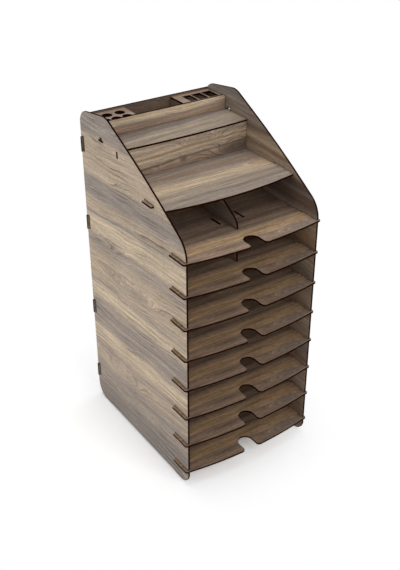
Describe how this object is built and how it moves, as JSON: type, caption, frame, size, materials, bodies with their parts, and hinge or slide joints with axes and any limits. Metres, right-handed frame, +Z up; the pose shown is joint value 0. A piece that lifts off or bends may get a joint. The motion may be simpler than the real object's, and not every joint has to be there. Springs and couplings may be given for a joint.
{
  "type": "desktop file organizer",
  "caption": "Tall desktop file organizer of slotted walnut-look boards, with a stack of open trays, a display shelf, a raised top shelf and a pen box behind it.",
  "frame": {"origin": "middle of the footprint, at the level of the desk", "axes": "+Z up, -Y towards the open front where the trays are reached, +X to the right as seen from the front"},
  "size_m": [0.2596, 0.3227, 0.5834],
  "materials": {
    "panel_veneer": "matt greyed walnut veneer with dark cut edges",
    "shelf_veneer": "matt walnut veneer with dark cut edges",
    "strip_veneer": "matt golden walnut veneer with dark cut edges"
  },
  "bodies": {
    "root": {"left_side_panel": "panel_veneer", "right_side_panel": "panel_veneer", "tray_1": "shelf_veneer", "tray_2": "shelf_veneer", "tray_3": "shelf_veneer", "tray_4": "shelf_veneer", "tray_5": "shelf_veneer", "tray_6": "shelf_veneer", "tray_7": "shelf_veneer", "tray_8": "shelf_veneer", "display_shelf": "shelf_veneer", "riser_board": "shelf_veneer", "top_shelf": "shelf_veneer", "upper_divider": "shelf_veneer", "lower_divider": "shelf_veneer", "back_panel": "shelf_veneer", "box_divider_left": "shelf_veneer", "box_divider_right": "shelf_veneer", "pen_plate": "shelf_veneer", "slotted_plate": "shelf_veneer", "box_front_board": "strip_veneer"}
  },
  "joints": []
}
